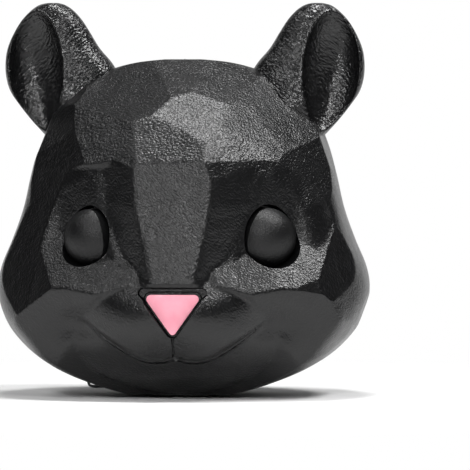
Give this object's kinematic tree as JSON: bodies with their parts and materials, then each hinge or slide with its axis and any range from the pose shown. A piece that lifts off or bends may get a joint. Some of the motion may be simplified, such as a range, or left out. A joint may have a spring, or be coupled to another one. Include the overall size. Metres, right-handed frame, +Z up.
{
  "type": "squirrel head bird feeder",
  "caption": "Hanging feeder shaped as a large black hewn squirrel's head, hollow and open behind so that a squirrel puts its head inside to feed.",
  "frame": {"origin": "middle of the small flat foot that the head stands on", "axes": "+Z up to the crown and the ears, -Y the way the face looks, +X to the right of a viewer in front of the face"},
  "size_m": [0.1548, 0.1395, 0.1635],
  "materials": {
    "black_vinyl": "black moulded vinyl, fine hair grain, satin",
    "black_vinyl_ear": "black moulded vinyl, deeper hair grain, satin",
    "satin_eye": "dark grey moulded plastic, satin",
    "pink_vinyl": "pink moulded vinyl, matt",
    "nylon": "natural nylon",
    "plated_eyelet": "blackened eyelet",
    "steel_washer": "zinc plated steel",
    "black_line": "braided polyester line"
  },
  "bodies": {
    "head": {"head_shell": "black_vinyl", "left_ear": "black_vinyl_ear", "right_ear": "black_vinyl_ear", "left_eye": "satin_eye", "right_eye": "satin_eye", "left_eye_washer": "nylon", "right_eye_washer": "nylon", "nose": "pink_vinyl", "nose_washer": "nylon", "crown_eyelet": "plated_eyelet", "stop_knot": "black_line", "hanging_line": "black_line", "line_coil": "black_line", "end_knot": "black_line"},
    "stop_washer": {"stop_washer": "steel_washer"}
  },
  "joints": [
    {"name": "stop_washer_slide", "type": "slide", "parent": "head", "child": "stop_washer", "axis": [0, 0.5, 0.866], "range_m": [0, 0.006]}
  ]
}
